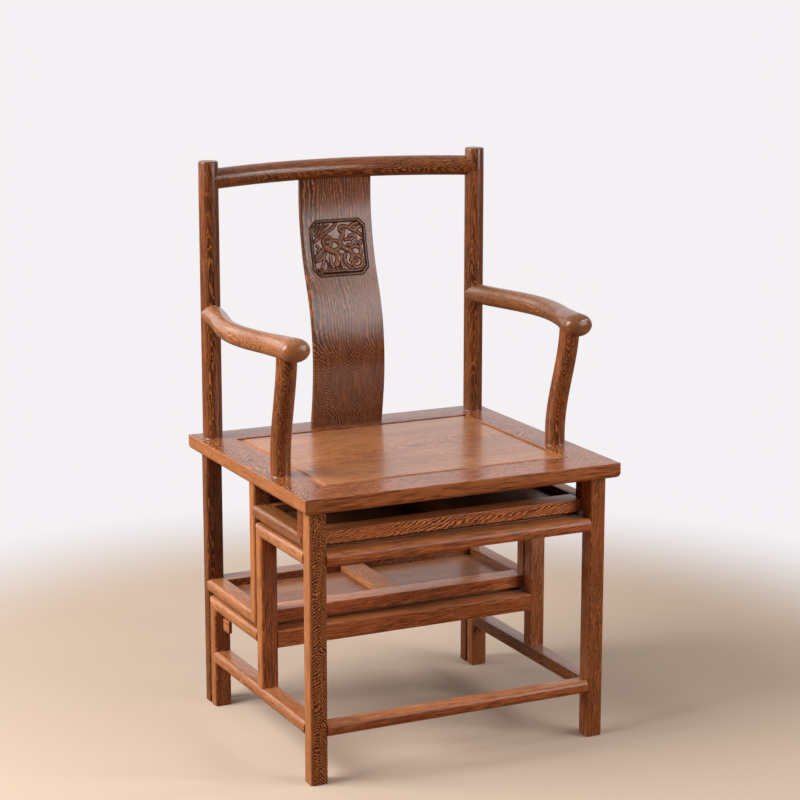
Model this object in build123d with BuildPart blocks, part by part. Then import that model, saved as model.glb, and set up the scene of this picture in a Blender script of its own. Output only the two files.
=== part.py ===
from build123d import *
import os
from math import atan2, cos, pi, sin

# Ladder chair: an armchair whose rear half, with the seat and the back, swings over the front on
# a hinge line in the seat top and stands upside down as the second side of a four-step ladder.
# Millimetres. X runs across, Y towards the back and Z up, from the centre of the outline on the floor.

# Seat
seat_width = 570.0
seat_depth = 508.0
seat_height = 480.0
seat_thickness = 26.0
seat_side_frame = 62.0
seat_front_frame = 72.0
seat_rear_frame = 69.0
seat_edge_radius = 9.0
seat_arris = 1.2

# Hinge line, measured from the seat's front edge
hinge_setback = 48.0
hinge_lift = 0.15
seam_gap = 0.5
hinge_spacing = 300.0
hinge_body_width = 30.0
hinge_body_depth = 12.0
hinge_body_height = 19.0
hinge_cover = 4.0
leaf_count = 3
leaf_pitch = 8.0
leaf_thickness = 2.4
leaf_radius = 12.0
leaf_slack = 0.2
track_radius = 8.5
track_width = 2.0
track_depth = 0.8

# Legs and posts
leg_side_inset = 14.5
leg_front_inset = 19.5
post_width = 30.0
post_thickness = 23.0
post_corner_radius = 6.0
post_gap = 4.0
middle_setback = 246.0
round_post_diameter = 34.0
round_post_shift = 1.0
round_post_inset = 38.0
post_neck = 16.0
post_top_radius = 2.0

# Steps
step_pitch = 186.0
step_gap = 6.0
rail_height = 22.0
tall_rail_height = 28.5
rail_depth = 38.0
rail_arris = 2.0
rail_nose_radius = 9.0
rail_side_radius = 8.0
stretcher_nose_radius = 4.0
apron_thickness = 12.0
apron_housing = 5.0
front_reach = 3.0
side_reach = 1.5
stretcher_top = 101.0
stretcher_depth = 26.0
stop_block_length = 26.0
stop_block_height = 22.0
stop_block_width = 6.0
stop_block_setback = 43.0

# Panels and battens
panel_thickness = 9.0
tongue_thickness = 5.0
tongue_drop = 3.0
tongue_length = 6.0
tongue_root = 2.0
bead_width = 10.0
bead_depth = 1.2
batten_width = 44.0
batten_thickness = 10.0

# Tenons and fits
tenon_width = 9.0
tenon_height = 9.0
tenon_length = 9.0
tenon_cover = 2.0
peg_diameter = 12.0
peg_length = 10.0
joint_slack = 0.1
panel_slack = 0.3

# Back and arms
crest_drop = 28.5
crest_diameter = 35.0
crest_bow = 43.0
crest_arch = 3.5
splat_width = 136.0
splat_thickness = 10.0
medallion_width = 108.0
medallion_height = 98.0
medallion_drop = 139.0
medallion_notch = 12.0
medallion_relief = 1.5
arm_rise = 217.5
arm_diameter = 35.0
arm_bow = 34.0
arm_bow_sharpness = 1.7
arm_splay = 1.0
arm_knob_start = 0.76
arm_knob_full = 0.95
arm_knob_taper = 0.7
arm_knob_roundness = 2.3
arm_knob_width = 51.0
arm_knob_height = 39.0
arm_tip_clearance = 6.5
arm_post_diameter = 34.0
arm_post_inset = 30.0
arm_post_setback = 168.0
arm_post_lean = 39.0
arm_post_tuck = 3.0
arm_post_foot = 0.1
arm_post_sections = 9

# Lines that the pieces share
overall_depth = seat_depth - round_post_inset + crest_bow + crest_diameter / 2
seat_front = -overall_depth / 2
seat_back = seat_front + seat_depth
seat_side = seat_width / 2
seat_underside = seat_height - seat_thickness
hinge_y = seat_front + hinge_setback
hinge_z = seat_height + hinge_lift
fixed_seam = hinge_y - seam_gap / 2
swing_seam = hinge_y + seam_gap / 2
post_outer = seat_side - leg_side_inset
post_inner = post_outer - post_width
post_middle = (post_outer + post_inner) / 2
post_span = (post_inner, post_outer)
leg_front = seat_front + leg_front_inset
leg_middle = (leg_front + fixed_seam) / 2
round_post_x = post_middle - round_post_shift
round_post_y = seat_back - round_post_inset
rear_leg_back = round_post_y + round_post_diameter / 2
rear_leg_front = rear_leg_back - post_thickness
rear_leg_middle = (rear_leg_front + rear_leg_back) / 2
rear_foot_back = rear_leg_front - post_gap
rear_foot_front = rear_foot_back - post_thickness
fixed_middle_back = seat_front + middle_setback - post_gap / 2
fixed_middle_front = fixed_middle_back - post_thickness
swing_middle_front = fixed_middle_back + post_gap
swing_middle_back = swing_middle_front + post_thickness
swing_middle = (swing_middle_front + swing_middle_back) / 2
upper_tread = seat_height - (step_pitch + step_gap) / 2
lower_tread = upper_tread - step_pitch
upper_soffit = upper_tread + step_gap
lower_soffit = lower_tread + step_gap
apron_bottom = upper_soffit + rail_height
post_top = 2 * seat_height
crest_height = post_top - crest_drop
crest_end_height = crest_height - crest_arch
medallion_centre = crest_height - medallion_drop
arm_height = seat_height + arm_rise
stretcher_bottom = stretcher_top - rail_height
tenon_depth = rail_height - tenon_height / 2 - tenon_cover
hinge_top = seat_height - hinge_cover
hinge_bottom = hinge_top - hinge_body_height


def around(centre, size, slack=0.0):
    return (centre - size / 2 - slack, centre + size / 2 + slack)


def block(x, y, z, mode=Mode.ADD):
    with Locations((sum(x) / 2, sum(y) / 2, sum(z) / 2)):
        Box(abs(x[1] - x[0]), abs(y[1] - y[0]), abs(z[1] - z[0]), mode=mode)


def save(piece, name):
    piece.part.label = name
    export_step(piece.part, f"parts/{name}.step")


def save_pair(right, name):
    with BuildPart() as left:
        mirror(right.part, about=Plane.YZ)
    save(right, f"{name}_right")
    save(left, f"{name}_left")


def round_outer_corners(piece):
    fillet(piece.edges().filter_by(Axis.Z).group_by(Axis.X)[-1], post_corner_radius)


# Tenons: each is called once to add the tenon and once, with joint_slack, to cut its mortise.
def cross_tenon(y, z, slack=0.0, mode=Mode.ADD, side=1):
    """Tenon along X from a cross rail's end into a post's or a side rail's inner face."""
    block((side * post_inner, side * (post_inner + tenon_length + slack)), around(y, tenon_width, slack),
          around(z, tenon_height, slack), mode)


def side_tenon(face_y, inward, z, slack=0.0, mode=Mode.ADD):
    """Tenon along Y from a side rail's end into a post."""
    block(around(post_middle, tenon_width, slack), (face_y, face_y + inward * (tenon_length + slack)),
          around(z, tenon_height, slack), mode)


def head_tenon(y, slack=0.0, mode=Mode.ADD, side=1):
    """Tenon up from a post's head into the seat frame."""
    block(around(side * post_middle, tenon_width, slack), around(y, tenon_width, slack),
          (seat_underside, seat_underside + tenon_length + slack), mode)


# Seat: a mitred frame with a floating panel. The hinge line cuts the frame just behind the front legs.
seat_hole_y = (seat_front + seat_front_frame, seat_back - seat_rear_frame)
seat_hole_x = seat_side - seat_side_frame
past_corner = 1.2


# Points on the right corners' mitres, from the hole's corner at share 0 to the seat's corner at 1.
def front_mitre(share):
    return (seat_hole_x + share * seat_side_frame, seat_hole_y[0] - share * seat_front_frame)


def back_mitre(share):
    return (seat_hole_x + share * seat_side_frame, seat_hole_y[1] + share * seat_rear_frame)


def seam_mitre(seam):
    return front_mitre((seat_hole_y[0] - seam) / seat_front_frame)


def mirrored(point):
    return (-point[0], point[1])


def seat_piece(piece, x, y, outline, along=None, across=None, outer=0):
    """Length of seat frame: a board with a moulded outer edge, cut to an outline in plan and grooved."""
    groove = tongue_length + joint_slack
    groove_top = seat_height - tongue_drop
    block(x, y, (seat_underside, seat_height))
    if along:
        fillet(piece.edges().filter_by(along).group_by(across)[outer].sort_by(Axis.Z)[0], seat_edge_radius)
        fillet(piece.edges().filter_by(along).group_by(across)[outer].sort_by(Axis.Z)[-1], seat_arris)
    with BuildSketch(Plane.XY.offset(seat_underside)) as plan:
        with BuildLine():
            Polyline(*outline, close=True)
        make_face()
    extrude(plan.sketch, amount=seat_thickness, mode=Mode.INTERSECT)
    block((-seat_hole_x - groove, seat_hole_x + groove), (seat_hole_y[0] - groove, seat_hole_y[1] + groove),
          (groove_top - tongue_thickness - joint_slack, groove_top + joint_slack), Mode.SUBTRACT)


def neck(slack=0.0, mode=Mode.ADD, side=1):
    """The square neck of the back post where it passes through the seat."""
    block(around(side * round_post_x, post_neck, slack), around(rear_leg_middle, post_neck, slack),
          (seat_underside, seat_height), mode)


def arm_post_peg(slack=0.0, mode=Mode.ADD):
    """Round peg from the arm post's foot down into the seat."""
    foot_x, foot_y = arm_post_centre(0)[:2]
    with Locations((foot_x, foot_y, seat_height - peg_length / 2)):
        Cylinder(peg_diameter / 2 + slack, peg_length + 2 * slack, mode=mode)


def seat_batten_tenons(slack=0.0, mode=Mode.ADD):
    bottom = seat_underside + joint_slack
    block(around(0, batten_width - tenon_width, slack),
          (seat_hole_y[0] - tenon_length - slack, seat_hole_y[1] + tenon_length + slack),
          (bottom - slack, bottom + tenon_height + slack), mode)


def hinge_bodies(front, back, slack=0.0, mode=Mode.ADD):
    """Both hinge bodies on one side of the hinge line, or their housings in the wood."""
    for x in (-hinge_spacing / 2, hinge_spacing / 2):
        block(around(x, hinge_body_width, slack), (front - slack, back + slack),
              (hinge_bottom - slack, hinge_top + slack), mode)


def hinge_discs(radius, thickness, mode=Mode.ADD):
    """Discs about the hinge line: the leaves, or the slots that they turn in."""
    for x in (-hinge_spacing / 2, hinge_spacing / 2):
        for index in range(leaf_count):
            leaf_x = x + (index - (leaf_count - 1) / 2) * leaf_pitch
            with Locations(Location((leaf_x, hinge_y, hinge_z), (0, 90, 0))):
                Cylinder(radius, thickness, mode=mode)


def make_seat():
    outside = front_mitre(past_corner)[0]
    front_outer = front_mitre(past_corner)
    back_outer = back_mitre(past_corner)
    front_inner = front_mitre(0)
    back_inner = back_mitre(0)
    fixed_end = seam_mitre(fixed_seam)
    swing_end = seam_mitre(swing_seam)
    full_width = (-outside, outside)
    side_width = (seat_hole_x, seat_side)

    with BuildPart() as front_rail:
        seat_piece(front_rail, full_width, (seat_front, fixed_seam),
                   [mirrored(front_outer), front_outer, fixed_end, mirrored(fixed_end)],
                   Axis.X, Axis.Y, 0)
        hinge_bodies(fixed_seam - hinge_body_depth, fixed_seam, joint_slack, Mode.SUBTRACT)
        hinge_discs(leaf_radius + leaf_slack, leaf_thickness + 2 * leaf_slack, Mode.SUBTRACT)
        head_tenon(leg_middle, joint_slack, Mode.SUBTRACT)
        head_tenon(leg_middle, joint_slack, Mode.SUBTRACT, side=-1)
    save(front_rail, "seat_front_rail")

    with BuildPart() as corner:
        seat_piece(corner, side_width, (front_outer[1], fixed_seam),
                   [front_outer, (outside, fixed_seam), fixed_end], Axis.Y, Axis.X, -1)
        head_tenon(leg_middle, joint_slack, Mode.SUBTRACT)
    save_pair(corner, "seat_front_corner")

    with BuildPart() as hinge_rail:
        seat_piece(hinge_rail, full_width, (swing_seam, seat_hole_y[0]),
                   [mirrored(swing_end), swing_end, front_inner, mirrored(front_inner)])
        hinge_bodies(swing_seam, swing_seam + hinge_body_depth, joint_slack, Mode.SUBTRACT)
        hinge_discs(leaf_radius + leaf_slack, leaf_thickness + 2 * leaf_slack, Mode.SUBTRACT)
        seat_batten_tenons(joint_slack, Mode.SUBTRACT)
    save(hinge_rail, "seat_hinge_rail")

    with BuildPart() as side_rail:
        seat_piece(side_rail, side_width, (swing_seam, back_outer[1]),
                   [swing_end, (outside, swing_seam), back_outer, back_inner, front_inner],
                   Axis.Y, Axis.X, -1)
        neck(joint_slack, Mode.SUBTRACT)
        arm_post_peg(joint_slack, Mode.SUBTRACT)
        head_tenon(swing_seam + post_thickness / 2, joint_slack, Mode.SUBTRACT)
        head_tenon(swing_middle_front + post_thickness / 2, joint_slack, Mode.SUBTRACT)
    save_pair(side_rail, "seat_side_rail")

    with BuildPart() as rear_rail:
        seat_piece(rear_rail, full_width, (seat_hole_y[1], seat_back),
                   [mirrored(back_outer), back_outer, back_inner, mirrored(back_inner)],
                   Axis.X, Axis.Y, -1)
        neck(joint_slack, Mode.SUBTRACT)
        neck(joint_slack, Mode.SUBTRACT, side=-1)
        seat_batten_tenons(joint_slack, Mode.SUBTRACT)
        splat_tongue(seat_height, -1, splat_curve[0][1], joint_slack, Mode.SUBTRACT)
    save(rear_rail, "seat_rear_rail")

    with BuildPart() as panel:
        panel_solid((-seat_hole_x, seat_hole_x), seat_hole_y, seat_height, -1)
    save(panel, "seat_panel")

    with BuildPart() as batten:
        bottom = seat_underside + joint_slack
        block(around(0, batten_width), seat_hole_y, (bottom, seat_height - panel_thickness))
        seat_batten_tenons()
    save(batten, "seat_batten")


def panel_solid(x, y, tread, grow):
    """Panel with a raised field and a tongue all round. grow is the way its thickness runs."""
    def level(start, end):
        return (tread + grow * start, tread + grow * end)

    def inset(span, by):
        return (span[0] + by, span[1] - by)

    block(inset(x, panel_slack), inset(y, panel_slack), level(bead_depth, panel_thickness))
    block(inset(x, bead_width), inset(y, bead_width), level(0, panel_thickness))
    block(inset(x, panel_slack - tongue_length), inset(y, panel_slack - tongue_length),
          level(tongue_drop, tongue_drop + tongue_thickness))


# Steps: each is a frame with a panel and a batten. grow is the way its depth runs from the tread:
# down on the fixed steps and up on the swinging ones, which hang upside down until the chair unfolds.
def make_step(prefix, tread, grow, front, back, mitre_y, toward, butt_y, butt_middle,
              nose_radius=rail_arris, front_height=rail_height, carries_apron=False):
    def level(start, end):
        return (tread + grow * start, tread + grow * end)

    tenon_z = tread + grow * tenon_depth
    rail_z = level(0, rail_height)
    groove_z = level(tongue_drop - joint_slack, tongue_drop + tongue_thickness + joint_slack)
    mitre_tenon = mitre_y + toward * (post_thickness + tenon_width)
    tenon_y = {1: (mitre_tenon, butt_middle), -1: (butt_middle, mitre_tenon)}[toward]
    hole_y = (front + rail_depth, back - rail_depth)
    groove = tongue_length + joint_slack
    batten_z = level(panel_thickness, panel_thickness + batten_thickness)

    def cut_groove():
        block((-post_inner - groove, post_inner + groove), (hole_y[0] - groove, hole_y[1] + groove),
              groove_z, Mode.SUBTRACT)

    def batten_tenons(slack=0.0, mode=Mode.ADD):
        block(around(0, batten_width - tenon_width, slack),
              (hole_y[0] - tenon_length - slack, hole_y[1] + tenon_length + slack),
              around(sum(batten_z) / 2, batten_thickness / 2, slack), mode)

    for name, y, height, tenon, nose in (("front_rail", (front, hole_y[0]), front_height, tenon_y[0], 0),
                                         ("rear_rail", (hole_y[1], back), rail_height, tenon_y[1], -1)):
        with BuildPart() as rail:
            block((-post_inner, post_inner), y, level(0, height))
            fillet(rail.edges().filter_by(Axis.X).group_by(Axis.Y)[nose], nose_radius)
            if carries_apron and name == "rear_rail":
                apron_tongue(joint_slack, Mode.SUBTRACT)
            cut_groove()
            batten_tenons(joint_slack, Mode.SUBTRACT)
            cross_tenon(tenon, tenon_z)
            cross_tenon(tenon, tenon_z, side=-1)
        save(rail, f"{prefix}_{name}")

    with BuildPart() as side:
        with BuildSketch(Plane.YZ.offset(post_inner)):
            with BuildLine():
                Polyline((butt_y, rail_z[0]), (mitre_y, rail_z[0]),
                         (mitre_y + toward * post_thickness, rail_z[1]), (butt_y, rail_z[1]), close=True)
            make_face()
        extrude(amount=post_width + side_reach)
        fillet(side.edges().filter_by(Axis.Y).group_by(Axis.X)[-1], rail_side_radius)
        cut_groove()
        cross_tenon(mitre_tenon, tenon_z, joint_slack, Mode.SUBTRACT)
        side_tenon(butt_y, toward, tenon_z)
    save_pair(side, f"{prefix}_side_rail")

    with BuildPart() as panel:
        panel_solid((-post_inner, post_inner), hole_y, tread, grow)
    save(panel, f"{prefix}_panel")

    with BuildPart() as batten:
        block(around(0, batten_width), hole_y, batten_z)
        batten_tenons()
    save(batten, f"{prefix}_batten")


def mitred_post(piece, mitre_y, toward, tread, grow, far_z):
    """Post in the open builder whose end is mitred to a step's side rail."""
    with BuildSketch(Plane.YZ.offset(post_inner)) as profile:
        with BuildLine():
            Polyline((mitre_y, far_z), (mitre_y, tread),
                     (mitre_y + toward * post_thickness, tread + grow * rail_height),
                     (mitre_y + toward * post_thickness, far_z), close=True)
        make_face()
    extrude(profile.sketch, amount=post_width)
    round_outer_corners(piece)


def make_fixed_frame():
    """Front legs, middle posts, rear feet and their steps and stretchers: the part that stays put."""
    fixed_middle = (fixed_middle_front + fixed_middle_back) / 2
    upper_tenon_z = upper_tread - tenon_depth
    lower_tenon_z = lower_tread - tenon_depth
    stretcher_z = (stretcher_top + stretcher_bottom) / 2

    with BuildPart() as leg:
        block(post_span, (leg_front, fixed_seam), (0, seat_underside))
        round_outer_corners(leg)
        head_tenon(leg_middle)
        cross_tenon(leg_middle, upper_tenon_z, joint_slack, Mode.SUBTRACT)
        cross_tenon(leg_middle, stretcher_z, joint_slack, Mode.SUBTRACT)
        side_tenon(fixed_seam, -1, upper_tenon_z, joint_slack, Mode.SUBTRACT)
        side_tenon(fixed_seam, -1, stretcher_z, joint_slack, Mode.SUBTRACT)
    save_pair(leg, "front_leg")

    with BuildPart() as middle_post:
        mitred_post(middle_post, fixed_middle_back, -1, upper_tread, -1, stretcher_top)
        cross_tenon(fixed_middle, lower_tenon_z, joint_slack, Mode.SUBTRACT)
        side_tenon(fixed_middle_back, -1, lower_tenon_z, joint_slack, Mode.SUBTRACT)
        block(around(post_middle, tenon_width), around(fixed_middle, tenon_width),
              (stretcher_top - tenon_length, stretcher_top))
    save_pair(middle_post, "fixed_middle_post")

    with BuildPart() as rear_foot:
        mitred_post(rear_foot, rear_foot_back, -1, lower_tread, -1, 0)
        side_tenon(rear_foot_front, 1, stretcher_z, joint_slack, Mode.SUBTRACT)
    save_pair(rear_foot, "fixed_rear_foot")

    with BuildPart() as side_stretcher:
        block((post_inner, post_outer + side_reach), (fixed_seam, rear_foot_front),
              (stretcher_bottom, stretcher_top))
        fillet(side_stretcher.edges().filter_by(Axis.Y).group_by(Axis.X)[-1], rail_side_radius)
        side_tenon(fixed_seam, -1, stretcher_z)
        side_tenon(rear_foot_front, 1, stretcher_z)
        block(around(post_middle, tenon_width, joint_slack), around(fixed_middle, tenon_width, joint_slack),
              (stretcher_top - tenon_length - joint_slack, stretcher_top), Mode.SUBTRACT)
    save_pair(side_stretcher, "side_stretcher")

    with BuildPart() as front_stretcher:
        nose_y = leg_front - front_reach
        block((-post_inner, post_inner), (nose_y, nose_y + stretcher_depth),
              (stretcher_bottom, stretcher_top))
        fillet(front_stretcher.edges().filter_by(Axis.X).group_by(Axis.Y)[0], stretcher_nose_radius)
        cross_tenon(leg_middle, stretcher_z)
        cross_tenon(leg_middle, stretcher_z, side=-1)
    save(front_stretcher, "front_stretcher")

    with BuildPart() as stop_blocks:
        block_back = rear_foot_front - stop_block_setback
        for side in (-1, 1):
            block((side * post_outer, side * (post_outer - stop_block_width)),
                  (block_back - stop_block_length, block_back),
                  (lower_tread - rail_height - stop_block_height, lower_tread - rail_height))
    save(stop_blocks, "stop_blocks")

    make_step("fixed_upper_step", upper_tread, -1, leg_front - front_reach, fixed_middle_back,
              fixed_middle_back, -1, fixed_seam, leg_middle, nose_radius=rail_nose_radius)
    make_step("fixed_lower_step", lower_tread, -1, fixed_middle_front - front_reach, rear_foot_back,
              rear_foot_back, -1, fixed_middle_back, fixed_middle, front_height=tall_rail_height)


# Apron: a board that closes the bay behind the upper swinging step, housed in the posts' inner faces
# and tongued into the rail under it. Its top carries the seat frame.
def apron_board(slack=0.0, mode=Mode.ADD):
    block(around(0, 2 * (post_inner + apron_housing), slack), around(swing_middle, apron_thickness, slack),
          (apron_bottom - slack, seat_underside), mode)


def apron_tongue(slack=0.0, mode=Mode.ADD):
    block((-post_inner, post_inner), around(swing_middle, tongue_thickness, slack),
          (apron_bottom - tongue_length - slack, apron_bottom), mode)


def make_swing_frame():
    """Short posts, middle posts, back posts and the inverted steps: the part that swings over."""
    upper_tenon_z = upper_soffit + tenon_depth
    lower_tenon_z = lower_soffit + tenon_depth

    with BuildPart() as short_post:
        mitred_post(short_post, swing_seam, 1, upper_soffit, 1, seat_underside)
        head_tenon(swing_seam + post_thickness / 2)
    save_pair(short_post, "short_post")

    with BuildPart() as middle_post:
        mitred_post(middle_post, swing_middle_front, 1, lower_soffit, 1, seat_underside)
        head_tenon(swing_middle)
        side_tenon(swing_middle_front, 1, upper_tenon_z, joint_slack, Mode.SUBTRACT)
        cross_tenon(swing_middle, upper_tenon_z, joint_slack, Mode.SUBTRACT)
        apron_board(joint_slack, Mode.SUBTRACT)
    save_pair(middle_post, "swing_middle_post")

    with BuildPart() as apron:
        apron_board()
        apron_tongue()
    save(apron, "swing_apron")

    with BuildPart() as back_post:
        block(post_span, (rear_leg_front, rear_leg_back), (0, seat_underside))
        round_outer_corners(back_post)
        neck()
        with Locations((round_post_x, round_post_y, (seat_height + post_top) / 2)):
            Cylinder(round_post_diameter / 2, post_top - seat_height)
        fillet(back_post.faces().sort_by(Axis.Z)[-1].edges(), post_top_radius)
        side_tenon(rear_leg_front, 1, lower_tenon_z, joint_slack, Mode.SUBTRACT)
        cross_tenon(rear_leg_middle, lower_tenon_z, joint_slack, Mode.SUBTRACT)
        crest_peg(joint_slack, Mode.SUBTRACT)
        arm_back_peg(joint_slack, Mode.SUBTRACT)
    save_pair(back_post, "back_post")

    make_step("swing_upper_step", upper_soffit, 1, swing_seam, swing_middle_back,
              swing_seam, 1, swing_middle_front, swing_middle, carries_apron=True)
    make_step("swing_lower_step", lower_soffit, 1, swing_middle_front, rear_leg_back,
              swing_middle_front, 1, rear_leg_front, rear_leg_middle)


# Back: a crest rail pegged between the posts, bowed backwards and slightly upwards, and an S-curved
# splat with a raised medallion.
crest_sagitta = (crest_bow ** 2 + crest_arch ** 2) ** 0.5
crest_radius = (round_post_x ** 2 + crest_sagitta ** 2) / (2 * crest_sagitta)
crest_end_angle = atan2(round_post_x, crest_radius - crest_sagitta)


def crest_end_plane():
    """Plane at the right post's axis, facing back along the crest rail."""
    inward, bend = cos(crest_end_angle), sin(crest_end_angle) / crest_sagitta
    return Plane(origin=(round_post_x, round_post_y, crest_end_height),
                 z_dir=(-inward, bend * crest_bow, bend * crest_arch))


def crest_peg(slack=0.0, mode=Mode.ADD):
    start = round_post_diameter / 2 - peg_length - slack
    with BuildSketch(crest_end_plane().offset(start)) as section:
        Circle(peg_diameter / 2 + slack)
    extrude(section.sketch, amount=2 * peg_length, mode=mode)


# The splat's S: shares of its height, and how far behind the posts' axis it stands there.
splat_curve = ((0.0, -1.0), (0.18, -12.0), (0.37, -9.0), (0.49, 3.0), (0.62, 23.5), (0.73, 36.0),
               (0.84, crest_bow), (1.0, crest_bow))


def splat_points(forward):
    """Points up the splat's face, moved forward from its middle."""
    rise = crest_height - seat_height
    return [(round_post_y + setback - forward, seat_height + share * rise) for share, setback in splat_curve]


def splat_slab(front_offset, back_offset, width):
    """Slab between two curves offset from the splat's middle, in the open builder."""
    front = splat_points(front_offset)
    back = splat_points(back_offset)
    with BuildSketch(Plane.YZ) as profile:
        with BuildLine():
            Spline(*front)
            Line(front[-1], back[-1])
            Spline(*reversed(back))
            Line(back[0], front[0])
        make_face()
    extrude(profile.sketch, amount=width / 2, both=True)


def splat_tongue(face_z, inward, setback, slack=0.0, mode=Mode.ADD):
    """Tongue on the splat's end, rooted in the splat, into the seat rail or the crest rail."""
    block(around(0, splat_width - 2 * bead_width, slack),
          around(round_post_y + setback, tongue_thickness, slack),
          (face_z - inward * tongue_root, face_z + inward * (tongue_length + slack)), mode)


def make_back():
    crest_face = crest_height - crest_diameter / 2
    with BuildPart() as crest_solid:
        with BuildLine() as path:
            ThreePointArc((-round_post_x, round_post_y, crest_end_height),
                          (0, round_post_y + crest_bow, crest_height),
                          (round_post_x, round_post_y, crest_end_height))
        with BuildSketch(Plane(origin=path.line @ 0, z_dir=path.line % 0)):
            Circle(crest_diameter / 2)
        sweep()
        with Locations(path.line @ 0, path.line @ 1):
            Cylinder(round_post_diameter / 2, 2 * crest_diameter, mode=Mode.SUBTRACT)

    with BuildPart() as peg:
        crest_peg()

    with BuildPart() as crest:
        add(crest_solid.part)
        add(peg.part)
        mirror(peg.part, about=Plane.YZ)
        splat_tongue(crest_face, 1, crest_bow, joint_slack, Mode.SUBTRACT)
    save(crest, "crest_rail")

    with BuildPart() as medallion:
        splat_slab(splat_thickness / 2 + medallion_relief, 0, medallion_width)
        with BuildSketch(Plane.XZ):
            with Locations((0, medallion_centre)):
                Rectangle(medallion_width, medallion_height)
                with GridLocations(medallion_width, medallion_height, 2, 2):
                    Rectangle(2 * medallion_notch, 2 * medallion_notch, mode=Mode.SUBTRACT)
        extrude(amount=seat_depth, both=True, mode=Mode.INTERSECT)

    with BuildPart() as splat:
        splat_slab(splat_thickness / 2, -splat_thickness / 2, splat_width)
        add(medallion.part)
        add(crest_solid.part, mode=Mode.SUBTRACT)
        splat_tongue(seat_height, -1, splat_curve[0][1])
        splat_tongue(crest_face, 1, crest_bow)
    save(splat, "back_splat")


# Arms: bowed outward in plan, with a knob over the swan-necked arm post.
arm_tip_y = 2 * hinge_y - leg_front + arm_tip_clearance
arm_run = round_post_y - arm_tip_y


def arm_centre(share):
    """Point on the arm's centre line, from the back post's axis to the tip."""
    outward = arm_bow * sin(pi * share) ** arm_bow_sharpness + arm_splay * share
    return (round_post_x + outward, round_post_y - share * arm_run, arm_height)


def arm_size(share):
    """Half width and half height of the arm, with the knob swelling and closing at the tip."""
    swell = min(max((share - arm_knob_start) / (arm_knob_full - arm_knob_start), 0), 1)
    past_knob = max((share - arm_knob_full) / (1 - arm_knob_full), 0)
    close = (1 - arm_knob_taper * past_knob ** arm_knob_roundness) ** (1 / arm_knob_roundness)
    width = arm_diameter + swell * (arm_knob_width - arm_diameter)
    height = arm_diameter + swell * (arm_knob_height - arm_diameter)
    return (close * width / 2, close * height / 2)


def arm_back_peg(slack=0.0, mode=Mode.ADD):
    """Peg from the arm's back end into the back post."""
    length = 2 * peg_length
    centre_y = round_post_y - round_post_diameter / 2 + slack
    with Locations(Location((round_post_x, centre_y, arm_height), (90, 0, 0))):
        Cylinder(peg_diameter / 2 + slack, length, mode=mode)


def arm_post_centre(share):
    """Point on the arm post's centre line: straight at the foot, then an S that leans forward."""
    rise = max(share - arm_post_foot, 0) / (1 - arm_post_foot)
    swing = 3 * rise ** 2 - 2 * rise ** 3
    foot = (seat_side - arm_post_inset, seat_front + arm_post_setback)
    head_y = foot[1] - arm_post_lean
    head_x = arm_centre((round_post_y - head_y) / arm_run)[0] - arm_post_tuck
    return (foot[0] + swing * (head_x - foot[0]), foot[1] + swing * (head_y - foot[1]),
            seat_height + share * (arm_height - seat_height))


def arm_front_peg(slack=0.0, mode=Mode.ADD):
    """Peg from the arm post's head up into the arm."""
    head = arm_post_centre(1)
    with Locations((head[0], head[1], arm_height - arm_diameter / 2 + slack / 2)):
        Cylinder(peg_diameter / 2 + slack, 2 * peg_length + slack, mode=mode)


def make_arms():
    stations = (0.0, 0.12, 0.25, 0.38, 0.5, 0.62, 0.74, arm_knob_start, 0.9, arm_knob_full, 0.98, 1.0)
    step = 0.001
    with BuildPart() as arm_solid:
        for share in stations:
            before = arm_centre(max(share - step, 0))
            after = arm_centre(min(share + step, 1))
            heading = Vector(*after) - Vector(*before)
            across, high = arm_size(share)
            plane = Plane(origin=arm_centre(share), x_dir=(heading.Y, -heading.X, 0), z_dir=heading)
            with BuildSketch(plane):
                Ellipse(across, high)
        loft()
        with Locations((round_post_x, round_post_y, arm_height)):
            Cylinder(round_post_diameter / 2, 2 * arm_diameter, mode=Mode.SUBTRACT)

    with BuildPart() as arm:
        add(arm_solid.part)
        arm_front_peg(joint_slack, Mode.SUBTRACT)
        arm_back_peg()
    save_pair(arm, "arm")

    with BuildPart() as arm_post:
        for index in range(arm_post_sections):
            centre = arm_post_centre(index / (arm_post_sections - 1))
            with BuildSketch(Plane.XY.offset(centre[2])):
                with Locations(centre[:2]):
                    Circle(arm_post_diameter / 2)
        loft()
        add(arm_solid.part, mode=Mode.SUBTRACT)
        arm_front_peg()
        arm_post_peg()
    save_pair(arm_post, "arm_post")


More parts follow.
